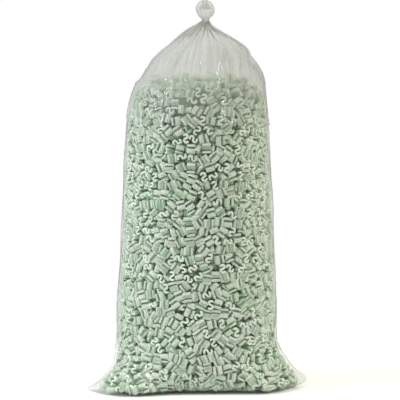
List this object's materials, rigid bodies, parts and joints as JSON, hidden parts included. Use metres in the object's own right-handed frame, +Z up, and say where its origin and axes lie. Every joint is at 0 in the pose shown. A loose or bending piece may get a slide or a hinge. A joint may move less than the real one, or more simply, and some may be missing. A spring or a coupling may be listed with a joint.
{
  "type": "packing peanut bag",
  "caption": "Tall clear film bag of pale green S-shaped foam packing peanuts, sealed flat across the bottom with two corner ears, gathered and knotted at the top.",
  "frame": {"origin": "on the floor, under the middle of the bag's box", "axes": "+Z up to the knotted tail, +X to the bag's right ear as seen from the front, -Y to the front"},
  "size_m": [0.715, 0.496, 1.275],
  "materials": {
    "film": "clear, slightly milky polyethylene film with soft creases",
    "foam": "matte expanded foam, pale mint green"
  },
  "bodies": {
    "root": {"film_bag": "film", "peanut_fill": "foam", "peanut_01": "foam", "peanut_02": "foam", "peanut_03": "foam", "peanut_04": "foam", "peanut_05": "foam", "peanut_06": "foam", "peanut_07": "foam", "peanut_08": "foam", "peanut_09": "foam", "peanut_10": "foam", "peanut_11": "foam", "peanut_12": "foam", "peanut_13": "foam", "peanut_14": "foam", "peanut_15": "foam", "peanut_16": "foam", "peanut_17": "foam", "peanut_18": "foam", "peanut_19": "foam", "peanut_20": "foam", "peanut_21": "foam", "peanut_22": "foam", "peanut_23": "foam", "peanut_24": "foam", "peanut_25": "foam", "peanut_26": "foam", "peanut_27": "foam", "peanut_28": "foam", "peanut_29": "foam", "peanut_30": "foam", "peanut_31": "foam", "peanut_32": "foam", "peanut_33": "foam", "peanut_34": "foam"}
  },
  "joints": []
}
